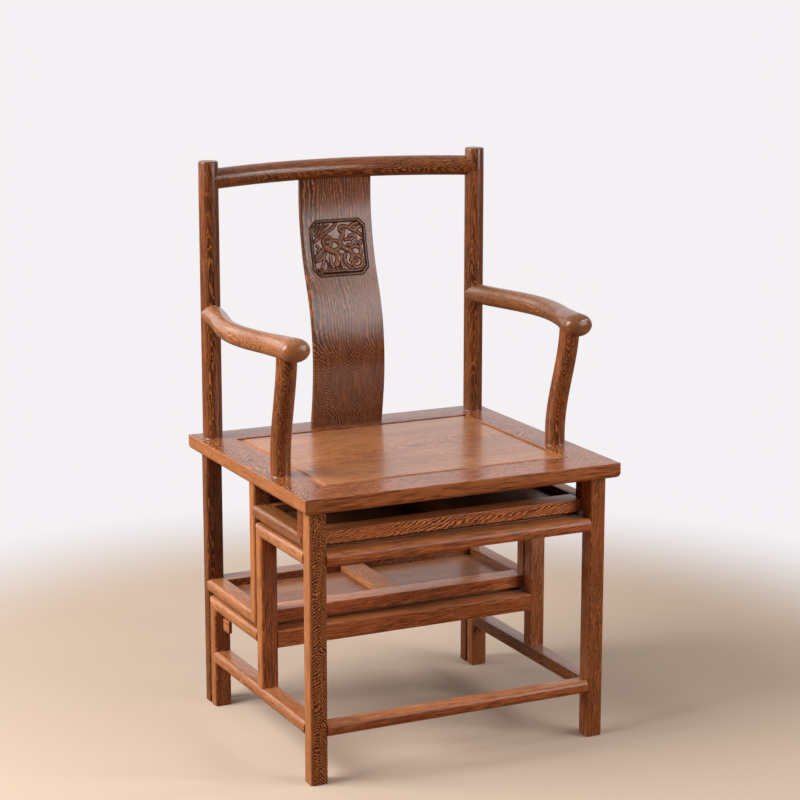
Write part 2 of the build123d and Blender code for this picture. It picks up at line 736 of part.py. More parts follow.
# Hinges: brass bodies let into both faces of the seam. The fixed bodies carry half-round leaves whose
# centre is the seat's top edge, and tracks on the swinging bodies run in grooves round the leaves.
def make_hinges():
    leaf_floor = hinge_z - 2 * hinge_lift
    with BuildPart() as grooves:
        hinge_discs(track_radius + track_width / 2, leaf_thickness)
        hinge_discs(track_radius - track_width / 2, leaf_thickness, Mode.SUBTRACT)
        hinge_discs(track_radius + track_width / 2, leaf_thickness - 2 * track_depth, Mode.SUBTRACT)

    with BuildPart() as fixed:
        hinge_discs(leaf_radius, leaf_thickness)
        block((-hinge_spacing, hinge_spacing), around(hinge_y, 4 * leaf_radius),
              (leaf_floor, leaf_floor + 2 * leaf_radius), Mode.SUBTRACT)
        add(grooves.part, mode=Mode.SUBTRACT)
        hinge_bodies(fixed_seam - hinge_body_depth, fixed_seam)
    save(fixed, "hinge_fixed_bodies")

    with BuildPart() as tracks:
        slot = leaf_thickness + 2 * leaf_slack
        hinge_discs(track_radius + track_width / 2 - leaf_slack, slot)
        hinge_discs(track_radius - track_width / 2 + leaf_slack, slot, Mode.SUBTRACT)
        hinge_discs(track_radius + track_width / 2, leaf_thickness - 2 * track_depth + 2 * leaf_slack,
                    Mode.SUBTRACT)
        block((-hinge_spacing, hinge_spacing), (swing_seam, swing_seam + hinge_body_depth),
              (hinge_bottom, hinge_top), Mode.INTERSECT)

    with BuildPart() as swing:
        hinge_bodies(swing_seam, swing_seam + hinge_body_depth)
        hinge_discs(leaf_radius + leaf_slack, leaf_thickness + 2 * leaf_slack, Mode.SUBTRACT)
        add(tracks.part)
    save(swing, "hinge_swing_bodies")


os.makedirs("parts", exist_ok=True)
make_seat()
make_fixed_frame()
make_swing_frame()
make_back()
make_arms()
make_hinges()
print("overall depth", round(overall_depth, 1), "hinge at", round(hinge_y, 2), round(hinge_z, 2))
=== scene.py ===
from math import pi

import bpy
import numpy as np
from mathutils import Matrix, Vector


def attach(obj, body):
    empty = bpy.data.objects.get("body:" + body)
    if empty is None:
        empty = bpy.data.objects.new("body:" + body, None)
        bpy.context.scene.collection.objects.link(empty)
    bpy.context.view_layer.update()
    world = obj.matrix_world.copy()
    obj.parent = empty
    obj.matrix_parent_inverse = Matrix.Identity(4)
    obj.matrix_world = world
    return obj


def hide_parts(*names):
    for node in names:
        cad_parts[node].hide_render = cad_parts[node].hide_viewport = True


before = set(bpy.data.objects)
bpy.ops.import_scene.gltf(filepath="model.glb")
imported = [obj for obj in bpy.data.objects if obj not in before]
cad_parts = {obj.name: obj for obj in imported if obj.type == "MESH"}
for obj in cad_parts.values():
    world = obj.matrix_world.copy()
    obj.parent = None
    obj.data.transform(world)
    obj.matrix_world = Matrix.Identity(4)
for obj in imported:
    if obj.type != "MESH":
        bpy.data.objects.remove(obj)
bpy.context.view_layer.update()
print("frame loaded")

front, rear = "front_steps", "seat_and_back"      # the two halves that the hinge joins

# Places that the pieces share, in metres. The chair faces -y, and +x is on the right from there.
chair = {
    "seatTop": 0.480, "seatUnder": 0.454, "seatFront": -0.26525, "seatBack": 0.24275,
    "seatSide": 0.285, "holeSide": 0.223, "holeFront": -0.19325, "holeBack": 0.17375,
    "seamFixed": -0.2175, "seamSwing": -0.217,
    "postIn": 0.2405, "postOut": 0.2705, "postThick": 0.023, "legFront": -0.24575,
    "midFixed": (-0.04425, -0.02125), "midSwing": (-0.01725, 0.00575),
    "rearFoot": (0.17175, 0.19475), "rearLeg": (0.19875, 0.22175),
    "roundX": 0.2545, "roundY": 0.20475, "roundR": 0.017,
    "treads": (0.384, 0.198), "soffits": (0.390, 0.204),
    "railHigh": 0.022, "tallRail": 0.0285, "railDeep": 0.038, "stretcher": (0.079, 0.101),
}


class Wire:
    # a shader socket; arithmetic on it adds Math nodes to the tree
    def __init__(self, tree, socket=None):
        self.tree = tree
        self.socket = socket

    def add(self, kind, settings=None, inputs=None, output=0):
        node = self.tree.nodes.new("ShaderNode" + kind)
        for key, value in (settings or {}).items():
            setattr(node, key, value)
        for key, value in (inputs or {}).items():
            if isinstance(value, Wire):
                self.tree.links.new(value.socket, node.inputs[key])
            else:
                node.inputs[key].default_value = value
        return Wire(self.tree, node.outputs[output] if node.outputs else None)

    def maths(self, operation, *values):
        return self.add("Math", {"operation": operation}, dict(enumerate(values)))

    def __add__(self, other):
        return self.maths("ADD", self, other)

    def __sub__(self, other):
        return self.maths("SUBTRACT", self, other)

    def __rsub__(self, other):
        return self.maths("SUBTRACT", other, self)

    def __mul__(self, other):
        return self.maths("MULTIPLY", self, other)

    def __truediv__(self, other):
        return self.maths("DIVIDE", self, other)

    def __abs__(self):
        return self.maths("ABSOLUTE", self)

    __radd__ = __add__
    __rmul__ = __mul__

    def step(self, low, high):
        # 0 below low, 1 above high, smooth between them
        return self.add("MapRange", {"interpolation_type": "SMOOTHSTEP"},
                        {"Value": self, "From Min": low, "From Max": high})

    def mix(self, first, second):
        # blends two colours by this value
        return self.add("Mix", {"data_type": "RGBA"}, {0: self, 6: first, 7: second}, 2)

    def part(self, letter):
        # the x, y or z of this vector
        return self.add("SeparateXYZ", {}, {0: self}, letter.upper())


def tint(code):
    # #rrggbb to linear light
    parts = [int(code[i:i + 2], 16) / 255 for i in (1, 3, 5)]
    linear = [p / 12.92 if p <= 0.04045 else ((p + 0.055) / 1.055) ** 2.4 for p in parts]
    return tuple(linear) + (1.0,)


def newMaterial(name):
    material = bpy.data.materials.new(name)
    material.use_nodes = True
    material.node_tree.nodes.clear()
    return material, Wire(material.node_tree)


def finishMaterial(start, inputs):
    shader = start.add("BsdfPrincipled", {}, inputs)
    start.add("OutputMaterial", {}, {"Surface": shader})


wood = {
    "pale": "#cb7b42", "mid": "#9a4f24", "deep": "#7a3817", "dark": "#391507", "pore": "#250e07",
    # the flank colour on this line is partly painted light: the pale look of side faces that catch
    # the light
    # the near-black carving colour on this line is painted shade for the carving's grooves and the
    # cuts round its strokes
    "brown": ("#a36c44", "#885431"), "flank": "#cf8853", "hollowShade": "#260d05", "carved": "#bd7f64",
    "apart": (0.137, 0.0713, 0.0119),       # how far apart two boards lie in the log
    "coatRough": 0.16, "refraction": 1.37, "bump": (0.30, 0.00015),
    "paleStreaks": 0.30, "darkFibres": 0.35, "darkPores": 0.5,      # strengths over the figure
    "relief": (0.3, 0.5, 0.6),              # of the pale lines, the fibres and the pores
    "rough": (0.10, 0.12, 0.15),            # what fibres, pores and hollows add to the gloss
    "fieldPlain": 0.8, "fieldPale": 0.7,    # the medallion's field
}

# The wood's small marks: size along, across and through the board, and further noise settings
marks = {
    "jag": (0.0042, 0.0028, 0.006), "wander": (0.03, 0.05, 0.05), "cloud": (0.20, 0.05, 0.05),
    "fibre": (0.030, 0.0012, 0.0012, 2.0, 0.6), "streak": (0.060, 0.0030, 0.0030, 2.0, 0.6),
    "dash": (0.035, 0.0026, 0.0026, 2.0, 0.6), "pore": (0.0060, 0.0005, 0.0005),
}

# How each kind of board was cut from the log, and so which figure its faces show.
#   bands    growth bands per metre along, across and through the board
#   vee      centre across the board, and bands per metre away from it
#   slow     size along and across the board, and how many bands it shifts
#   feather  the same for the feathers
#   jag      bands that the lines' ragged edges shift
#   lines    where the pale lines begin and end in each band's wave
#   show     strength of the figure where it is weak and where it is strong
#   patch    size of the strong places along and across the board
#   lean     place across the board where the figure is half faded, and how fast it fades there
#   row      place across the board of a row of feathers, and its half width
#   arcs     bands per metre from a centre outside the edge, its place across the board, the heights
#            between which the lines turn upright, and how far that carries them
#   streaks  strength of the dark streaks along the grain
#   brown    whether the board is of the browner, plainer kind
#   flank    how much plainer and paler the faces are that look across the board; paler is painted light
#   gloss    roughness of the lacquer's body, and coat is the strength of its sharper top coat
usual = {
    "vee": None, "slow": (0.160, 0.020, 2.5), "feather": (0.030, 0.007, 0.8), "jag": 0.35,
    "lines": (0.45, 0.90), "patch": (0.10, 0.025), "lean": None, "row": None, "arcs": None,
    "brown": False, "flank": 0.6, "gloss": 0.27, "coat": 0.22,
}
cuts = {
    "leg": {"bands": (185, 40, 760), "vee": (0.2555, 150), "slow": (0.060, 0.030, 2.2),
            "feather": (0.011, 0.007, 0.6), "lines": (0.58, 0.95), "show": (1.0, 1.0),
            "jag": 0.45, "streaks": 0.20, "flank": 0.75},
    "rail": {"bands": (-75, 230, 760), "slow": (0.110, 0.020, 1.8),
             "feather": (0.020, 0.007, 0.7), "show": (0.45, 0.90), "streaks": 0.35,
             "gloss": 0.33, "coat": 0.12},
    "dashed": {"bands": (-50, 330, 760), "slow": (0.110, 0.020, 2.0),
               "feather": (0.012, 0.005, 0.9), "show": (0.35, 0.75), "streaks": 0.35},
    "fine": {"bands": (-20, 200, 760), "slow": (0.200, 0.020, 2.0),
             "feather": (0.030, 0.006, 0.7), "show": (0.08, 0.35), "streaks": 0.50,
             "gloss": 0.33, "coat": 0.12},
    "plain": {"bands": (-55, 260, 760), "show": (0.25, 0.60), "streaks": 0.50},
    "side": {"brown": True, "bands": (-30, 150, 760), "show": (0.10, 0.35), "streaks": 0.25,
             "flank": 0.0},
    "inner": {"brown": True, "bands": (-30, 150, 760), "show": (0.10, 0.35), "streaks": 0.25,
              "flank": 0.0, "gloss": 0.48, "coat": 0.0},
    "tread": {"brown": True, "bands": (6, 70, 300), "slow": (0.180, 0.040, 5.0),
              "feather": (0.014, 0.010, 1.0), "show": (0.04, 0.22), "row": (0.02, 0.05),
              "streaks": 0.20, "flank": 0.0, "gloss": 0.36, "coat": 0.1},
    "seatFront": {"bands": (-40, 230, 760), "slow": (0.200, 0.020, 2.5), "show": (0.30, 0.65),
                  "streaks": 0.65, "flank": 0.05},
    "panel": {"brown": True, "bands": (6, 110, 300), "slow": (0.180, 0.040, 4.0),
              "feather": (0.014, 0.010, 1.2), "show": (0.04, 0.25), "row": (0.0, 0.05),
              "streaks": 0.20, "flank": 0.0},
    "seatSide": {"bands": (95, 60, 760), "vee": (0.252, 150), "slow": (0.070, 0.040, 3.0),
                 "feather": (0.012, 0.008, 0.9), "show": (0.55, 0.95), "streaks": 0.25},
    "splat": {"bands": (0, 95, 40), "slow": (0.120, 0.040, 2.4),
              "feather": (0.024, 0.008, 0.55), "lines": (0.58, 0.95), "show": (0.38, 1.0),
              "lean": (0.014, 14.0), "arcs": (180, -0.10, 0.43, 0.64, 0.20),
              "streaks": 0.35, "flank": 0.3, "gloss": 0.23, "coat": 0.32},
    "round": {"bands": (35, 300, 760), "slow": (0.140, 0.020, 4.0),
              "feather": (0.030, 0.006, 1.0), "lines": (0.66, 1.0), "show": (0.45, 0.95),
              "streaks": 0.55, "flank": 0.25},
    "crest": {"bands": (22, 230, 480), "slow": (0.160, 0.025, 4.0),
              "feather": (0.016, 0.008, 1.0), "lines": (0.62, 1.0), "show": (0.55, 0.90),
              "streaks": 0.45, "flank": 0.0},
    "arm": {"brown": True, "bands": (14, 150, 620), "slow": (0.120, 0.025, 4.0),
            "feather": (0.016, 0.008, 0.8), "show": (0.15, 0.45), "streaks": 0.30,
            "flank": 0.0},
}


def chickenWing(name, along, layers, cut, tone=1.0, carved=False):
    # Striped hardwood as a solid. The phase counts growth bands: a slope through the board, bent by
    # noise that is stretched along the grain. A face that follows the bands shows their contours as
    # feathers, and a face across them shows stripes too fine to tell apart.
    look = dict(usual, **cuts[cut])
    material, start = newMaterial(name)
    seed = sum((i + 3) * ord(c) for i, c in enumerate(name)) % 97
    place = start.add("TexCoord", {}, {}, "Object")
    normal = start.add("TexCoord", {}, {}, "Normal")
    across = "xyz".replace(along, "").replace(layers, "")
    flat, rise = place.part(across), place.part(along)
    a = rise + wood["apart"][0] * seed
    t = flat + wood["apart"][1] * seed
    r = place.part(layers) + wood["apart"][2] * seed

    def noise(sizeA, sizeT, sizeR, detail=1.0, rough=0.5):
        spot = start.add("CombineXYZ", {},
                         {0: a * (1 / sizeA), 1: t * (1 / sizeT), 2: r * (1 / sizeR)})
        return start.add("TexNoise", {},
                         {"Vector": spot, "Scale": 1.0, "Detail": detail, "Roughness": rough})

    def shifted(sizeA, sizeT, bands):
        return (noise(sizeA, sizeT, sizeT * 2) - 0.5) * (2 * bands)

    alongBands, acrossBands, throughBands = look["bands"]
    phase = a * alongBands + t * acrossBands + r * throughBands
    phase = phase + shifted(*look["slow"]) + shifted(*look["feather"])
    phase = phase + (noise(*marks["jag"]) - 0.5) * (2 * look["jag"])
    if look["vee"]:
        wander = (noise(*marks["wander"]) - 0.5) * 0.03
        phase = phase + abs(abs(flat) - look["vee"][0] + wander) * look["vee"][1]
    if look["arcs"]:
        density, centre, low, high, carry = look["arcs"]
        aside, climb = flat - centre, rise.step(low, high) * carry
        reach = aside * aside + climb * climb
        phase = phase + reach.maths("SQRT", reach) * density
    angle = phase * (2 * pi)
    line = (angle.maths("SINE", angle) * 0.5 + 0.5).step(*look["lines"])

    weak, strong = look["show"]
    show = noise(*look["patch"], 0.03).step(0.35, 0.65)
    if look["lean"]:
        halfway, rate = look["lean"]
        show = show * 0.5 + (0.5 - (flat - halfway) * rate).step(0.0, 1.0) * 0.5
    if look["row"]:
        middle, half = look["row"]
        show = show + (1 - abs(flat - middle) / half).step(0.0, 0.8) * 1.5
    show = show.maths("MINIMUM", show * (strong - weak) + weak, 1.0)
    # faces looking across the board: plainer for their straighter grain, and paler as painted light
    flank = abs(normal.part(across)).step(0.45, 0.95) * look["flank"]
    show = show * (1 - flank)

    cloud, fibre, streak, dash = (noise(*marks[m]) for m in ("cloud", "fibre", "streak", "dash"))
    pore = noise(*marks["pore"]).step(0.62, 0.72)
    light, deep = wood["brown"] if look["brown"] else (wood["mid"], wood["deep"])
    # the faces across the board take the paler flank colour here, which is painted light
    body = flank.mix(cloud.step(0.3, 0.7).mix(tint(light), tint(deep)), tint(wood["flank"]))
    if carved:
        # the medallion's field is plainer, on the front face alone
        fadeX, fadeZ = carving["field"]
        field = (1 - abs(flat).step(*fadeX)) * (1 - abs(rise - carving["middle"]).step(*fadeZ))
        field = field * (0 - normal.part("y")).step(0.0, 0.2)
        show = show * (1 - field * wood["fieldPlain"])
        body = (field * wood["fieldPale"]).mix(body, tint(wood["carved"]))
    pale, dark = tint(wood["pale"]), tint(wood["dark"])
    colour = show.mix(body, line.mix(dark, pale))
    colour = (streak.step(0.35, 0.75) * wood["paleStreaks"]).mix(colour, pale)
    colour = ((1 - fibre).step(0.40, 0.75) * wood["darkFibres"]).mix(colour, dark)
    colour = ((1 - dash).step(0.46, 0.62) * look["streaks"]).mix(colour, dark)
    colour = (pore * wood["darkPores"]).mix(colour, tint(wood["pore"]))
    colour = start.add("Mix", {"data_type": "RGBA", "blend_type": "MULTIPLY"},
                       {0: 1.0, 6: colour, 7: (tone, tone, tone, 1.0)}, 2)
    ofFibre, ofPore, ofHollow = wood["rough"]
    rough = look["gloss"] + (fibre - 0.5) * ofFibre + pore * ofPore
    if carved:
        # painted shade: the carving's grooves and the cuts round its strokes turn near-black and
        # rougher
        hollowShade = start.add("Attribute", {"attribute_name": "hollowShade"}, {}, "Fac")
        colour = hollowShade.mix(colour, tint(wood["hollowShade"]))
        rough = rough + hollowShade * ofHollow
    strength, distance = wood["bump"]
    ofLine, ofFibre, ofPore = wood["relief"]
    height = line * show * ofLine + fibre * ofFibre - pore * ofPore
    bump = start.add("Bump", {}, {"Strength": strength, "Distance": distance, "Height": height})
    finishMaterial(start, {"Base Color": colour, "Roughness": rough, "Normal": bump,
                           "Coat Weight": look["coat"], "Coat Roughness": wood["coatRough"],
                           "IOR": wood["refraction"]})
    return material


brassLook = {"bright": "#c9a35a", "stained": "#8a6a35", "brush": (30.0, 900.0, 900.0)}


def brass():
    # brushed along x, with darker stains
    material, start = newMaterial("brushedBrass")
    place = start.add("TexCoord", {}, {}, "Object")
    grain = start.add("Mapping", {}, {"Vector": place, "Scale": brassLook["brush"]})
    brushed = start.add("TexNoise", {}, {"Vector": grain, "Scale": 1.0, "Detail": 3.0})
    stain = start.add("TexNoise", {}, {"Vector": place, "Scale": 60.0, "Detail": 3.0})
    stain = stain.step(0.45, 0.7) * 0.4
    colour = stain.mix(tint(brassLook["bright"]), tint(brassLook["stained"]))
    bump = start.add("Bump", {}, {"Strength": 0.2, "Distance": 0.0001, "Height": brushed})
    finishMaterial(start, {"Base Color": colour, "Metallic": 1.0,
                           "Roughness": brushed * 0.2 + 0.25, "Normal": bump})
    return material


def meshFrom(name, points, faces, body, slot, material):
    # the piece stands for the node of its own name; edges sharper than 34 degrees stay sharp
    mesh = bpy.data.meshes.new(name)
    mesh.from_pydata(points, [], faces)
    mesh.shade_smooth()
    mesh.set_sharp_from_angle(angle=0.6)
    mesh.materials.append(material)
    piece = bpy.data.objects.new(name, mesh)
    bpy.context.scene.collection.objects.link(piece)
    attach(piece, body)
    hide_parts(name)
    return piece


def shell(rings):
    # Closed skin over rings of points, with a flat cap on each end. Turned outwards if its signed
    # volume, a sixth of the sum of a.(b x c) over its triangles, is negative.
    ringCount, pointCount = rings.shape[:2]
    index = np.arange(ringCount * pointCount).reshape(ringCount, pointCount)
    low, high = index[:-1], index[1:]
    quads = np.stack([low, np.roll(low, -1, 1), np.roll(high, -1, 1), high], -1).reshape(-1, 4)
    points = rings.reshape(-1, 3)
    a, b, c, d = (points[quads[:, i]] for i in range(4))
    volume = np.einsum("ij,ij->", a, np.cross(b, c)) + np.einsum("ij,ij->", a, np.cross(c, d))
    first, last = points[index[0]], points[index[-1]]
    volume += np.einsum("ij,ij->", np.roll(first, -1, 0), np.cross(first, first.mean(0)))
    volume += np.einsum("ij,ij->", last, np.cross(np.roll(last, -1, 0), last.mean(0)))
    faces = quads.tolist() + [index[0][::-1].tolist(), index[-1].tolist()]
    if volume < 0:
        faces = [f[::-1] for f in faces]
    return points, faces


def joined(shells):
    # one skin of several, each one's points numbered on from the last
    points, faces, count = [], [], 0
    for shellPoints, shellFaces in shells:
        points.append(shellPoints)
        faces += [[i + count for i in face] for face in shellFaces]
        count += len(shellPoints)
    return np.concatenate(points), faces


def mirrored(points, faces):
    return points * np.array([-1.0, 1.0, 1.0]), [f[::-1] for f in faces]


def eased(corners, radii, steps=4):
    # Outline with each corner swapped for an arc of its radius, tangent to both sides: the arc's
    # centre lies on the corner's bisector.
    corners = np.array(corners, float)
    before = np.roll(corners, 1, 0) - corners
    after = np.roll(corners, -1, 0) - corners
    before /= np.linalg.norm(before, axis=1)[:, None]
    after /= np.linalg.norm(after, axis=1)[:, None]
    half = np.arccos(np.clip((before * after).sum(1), -1, 1)) / 2
    radii = np.array(radii, float)
    reach = radii / np.tan(half)
    share = np.linspace(0, 1, steps + 1)[None, :, None]
    begin = (corners + before * reach[:, None])[:, None]
    stop = (corners + after * reach[:, None])[:, None]
    centre = (corners + (before + after) / np.linalg.norm(before + after, axis=1)[:, None]
              * (radii / np.sin(half))[:, None])[:, None]
    chord = begin * (1 - share) + stop * share - centre
    length = np.linalg.norm(chord, axis=2, keepdims=True)
    arc = centre + chord / np.maximum(length, 1e-9) * radii[:, None, None]
    return arc.reshape(-1, 2)


def inset(outline, by):
    # moves each point inwards along the mean of its two sides' normals
    forward = np.roll(outline, -1, 0) - outline
    back = outline - np.roll(outline, 1, 0)
    forward /= np.maximum(np.linalg.norm(forward, axis=1), 1e-9)[:, None]
    back /= np.maximum(np.linalg.norm(back, axis=1), 1e-9)[:, None]
    along = forward + back
    normal = np.stack([-along[:, 1], along[:, 0]], 1) / np.linalg.norm(along, axis=1)[:, None]
    ahead = np.roll(outline, -1, 0)
    area = (outline[:, 0] * ahead[:, 1] - outline[:, 1] * ahead[:, 0]).sum()
    return outline + normal * by * np.sign(area)


def crossed(outline, at, value):
    # adds the points where the outline's coordinate number at passes a value
    begin, stop = outline, np.roll(outline, -1, 0)
    edge = np.flatnonzero((begin[:, at] - value) * (stop[:, at] - value) < 0)
    share = ((value - begin[edge, at]) / (stop[edge, at] - begin[edge, at]))[:, None]
    return np.insert(outline, edge + 1, begin[edge] * (1 - share) + stop[edge] * share, axis=0)


def rectangle(left, right, low, high, ease, steps):
    # its four corners eased alike
    return eased([(left, low), (right, low), (right, high), (left, high)], [ease] * 4, steps)


joinery = {
    "seam": 0.0003,             # ease on every cut end, which draws a thin line at each joint
    "arris": 0.0012, "innerCorner": 0.0025, "outerCorner": 0.006, "cornerSteps": 6, "foot": 0.0015,
    "frontReach": 0.003, "sideReach": 0.0015, "stretcherDeep": 0.026,
    # rounds on the rails' top and bottom edges
    "nose": {"flat": (0.0015, 0.002), "round": (0.009, 0.007), "side": (0.008, 0.008),
             "stretcher": (0.008, 0.009)},
    "noseSteps": 7,
}


def board(outline, along, start, end, easeStart=None, easeEnd=None):
    # Outline across the grain carried along it, between two cuts. A cut is a number, or a function
    # of the outline's two coordinates for a mitre. Each end is eased by a quarter round.
    stations = []
    for cut, ease, sign in ((start, easeStart, 1), (end, easeEnd, -1)):
        turn = np.linspace(0, pi / 2, 4 if ease else 2)
        ease = ease or joinery["seam"]
        made = []
        for q in turn:
            section = inset(outline, ease * (1 - np.cos(q)))
            place = cut(*section.T) if callable(cut) else np.full(len(section), cut)
            made.append((section, place + sign * ease * (1 - np.sin(q))))
        stations.append(made)
    sections = stations[0][::-1] + stations[1]
    order = {"x": (2, 0, 1), "y": (0, 2, 1), "z": (0, 1, 2)}[along]
    return shell(np.stack([np.column_stack([s, w])[:, order] for s, w in sections]))


def addPiece(name, solid, body, along, layers, cut, slot="frame_wood", tone=1.0):
    return meshFrom(name, *solid, body, slot, chickenWing(name + "Wood", along, layers, cut, tone))


def addPair(name, solid, body, along, layers, cuts, tones=(1.0, 1.0)):
    # the cuts and tones are the left piece's and the right piece's
    cuts = (cuts, cuts) if isinstance(cuts, str) else cuts
    addPiece(name + "_left", mirrored(*solid), body, along, layers, cuts[0], tone=tones[0])
    addPiece(name + "_right", solid, body, along, layers, cuts[1], tone=tones[1])


def postOutline(y0, y1):
    # a square post seen from above, its two outer corners rounder than the inner ones
    inner, outer = joinery["innerCorner"], joinery["outerCorner"]
    x0, x1 = chair["postIn"], chair["postOut"]
    return eased([(x0, y0), (x1, y0), (x1, y1), (x0, y1)], [inner, outer, outer, inner],
                 joinery["cornerSteps"])


def nosed(inner, outer, low, high, kind):
    # rail section: square at the back, and rounded in front
    slight = joinery["arris"]
    topRound, lowRound = joinery["nose"][kind]
    corners = [(inner, low), (outer, low), (outer, high), (inner, high)]
    return eased(corners, [slight, lowRound, topRound, slight], joinery["noseSteps"])


def sideSection(low, high):
    return nosed(chair["postIn"], chair["postOut"] + joinery["sideReach"], low, high, "side")


def coped(buttY, toward):
    # A side rail's end is scribed to the post's round outer corner: it runs on by the corner arc's
    # depth, r - sqrt(r^2 - d^2), at distance d past the arc's start.
    r = joinery["outerCorner"]

    def cut(x, z):
        past = np.clip(x - chair["postOut"] + r, 0, 0.9 * r)
        return buttY + toward * (r - np.sqrt(r ** 2 - past ** 2))
    return cut


def mitred(level, edgeY):
    # a post's end at a side rail climbs by the rail's height over the post's thickness
    return lambda x, y: level + chair["railHigh"] * (y - edgeY) / chair["postThick"]


stops = {"thick": 0.006, "low": 0.154, "high": 0.176, "ends": (0.10325, 0.12925), "ease": 0.001}


def buildFrames():
    under, fixedSeam, swingSeam = chair["seatUnder"], chair["seamFixed"], chair["seamSwing"]
    midFixed, midSwing, foot = chair["midFixed"], chair["midSwing"], chair["rearFoot"]
    low, top = chair["stretcher"]
    leg = board(postOutline(chair["legFront"], fixedSeam), "z", 0.0, under, joinery["foot"])
    addPair("front_leg", leg, front, "z", "y", ("leg", "dashed"))
    post = board(postOutline(*midFixed), "z", top, mitred(chair["treads"][0], midFixed[1]))
    addPair("fixed_middle_post", post, front, "z", "y", ("fine", "dashed"))
    post = board(postOutline(*foot), "z", 0.0, mitred(chair["treads"][1], foot[1]),
                 joinery["foot"])
    addPair("fixed_rear_foot", post, front, "z", "y", ("dashed", "leg"))
    post = board(postOutline(swingSeam, swingSeam + chair["postThick"]), "z",
                 mitred(chair["soffits"][0], swingSeam), under)
    addPair("short_post", post, rear, "z", "x", "plain", tones=(0.8, 1.0))
    post = board(postOutline(*midSwing), "z", mitred(chair["soffits"][1], midSwing[0]), under)
    addPair("swing_middle_post", post, rear, "z", "y", "leg")

    side = board(sideSection(low, top), "y", coped(fixedSeam, -1), coped(foot[0], 1))
    addPair("side_stretcher", side, front, "y", "x", "side", tones=(1.3, 1.0))
    nose = chair["legFront"] - joinery["frontReach"]
    cross = nosed(nose + joinery["stretcherDeep"], nose, low, top, "stretcher")
    addPiece("front_stretcher", board(cross, "x", -chair["postIn"], chair["postIn"]),
             front, "x", "y", "fine", tone=1.2)
    blocks = []
    for s in (-1, 1):
        outline = rectangle(s * chair["postOut"], s * (chair["postOut"] - stops["thick"]),
                            stops["low"], stops["high"], stops["ease"], 2)
        blocks.append(board(outline, "y", *stops["ends"], stops["ease"], stops["ease"]))
    addPiece("stop_blocks", joined(blocks), front, "y", "z", "plain", "inner_wood")


panels = {"margin": 0.010, "sink": 0.0026, "thick": 0.009, "gap": 0.0004, "ease": 0.0010}


def panelSolid(halfX, frontY, backY, tread, grow):
    # rectangles drawn in step by step: a margin sunk below the field, with an eased step up to it
    m, s, e, g = panels["margin"], panels["sink"], panels["ease"], panels["gap"]
    levels = [(g, panels["thick"]), (g, s + e), (g + e, s), (m - e, s), (m, s - e / 2),
              (m + e / 3, e / 2), (m + e, 0)]
    rings = [[(-halfX + by, frontY + by, tread + grow * deep),
              (halfX - by, frontY + by, tread + grow * deep),
              (halfX - by, backY - by, tread + grow * deep),
              (-halfX + by, backY - by, tread + grow * deep)] for by, deep in levels]
    return shell(np.array(rings))


# Tones are for the front rail, the left side rail and the panel. The batten is paler by its share.
# The front rails' raised tones and the batten's share are painted light, for light under the seat.
steps = {
    "batten": (0.009, 0.019), "battenHalf": 0.022, "battenEase": 0.0012, "battenShare": 1.6,
    "apronHalf": 0.006, "apronEase": 0.0005, "apronTone": 0.7, "tones": (1.35, 1.3, 1.0),
}


def buildStep(name, body, tread, grow, ends, butts, nose="flat", frontHigh=None,
              faceCut="fine", tones=steps["tones"]):
    # The tread's face is at the height tread, and its boards grow from there downwards (-1) or
    # upwards (1). A side rail has a mitre at the end where grow is 1 in front and -1 behind, and a
    # butt against a post at the other.
    deep, high, thick = chair["railDeep"], chair["railHigh"], chair["postThick"]
    postIn = chair["postIn"]
    faceTone, sideTone, innerTone = tones
    frontY, backY = ends
    mitreY, buttY = butts
    z0, z1 = sorted((tread, tread + grow * high))

    face = nosed(frontY + deep, frontY, tread - frontHigh if frontHigh else z0, z1, nose)
    # the front rail's raised tone is painted light, for the light that reaches it under the seat
    addPiece(name + "_front_rail", board(face, "x", -postIn, postIn),
             body, "x", "y", faceCut, tone=faceTone)
    face = nosed(backY - deep, backY, z0, z1, nose)
    addPiece(name + "_rear_rail", board(face, "x", -postIn, postIn), body, "x", "y", "plain")

    def mitre(x, z):
        return mitreY + grow * thick * (z - tread) * grow / high

    cut = (mitre, coped(buttY, 1)) if grow > 0 else (coped(buttY, -1), mitre)
    addPair(name + "_side_rail", board(sideSection(z0, z1), "y", *cut),
            body, "y", "x", "side", tones=(sideTone, 1.0))
    addPiece(name + "_panel", panelSolid(postIn, frontY + deep, backY - deep, tread, grow),
             body, "x", "z", "tread", "panel_wood", innerTone)
    z0, z1 = sorted(tread + grow * z for z in steps["batten"])
    half = steps["battenHalf"]
    batten = board(rectangle(-half, half, z0, z1, steps["battenEase"], 3),
                   "y", frontY + deep, backY - deep)
    # the batten's paler tone is painted light, for the lamp's light falling on it
    addPiece(name + "_batten", batten, body, "y", "z", "inner", "inner_wood",
             steps["battenShare"] * innerTone)


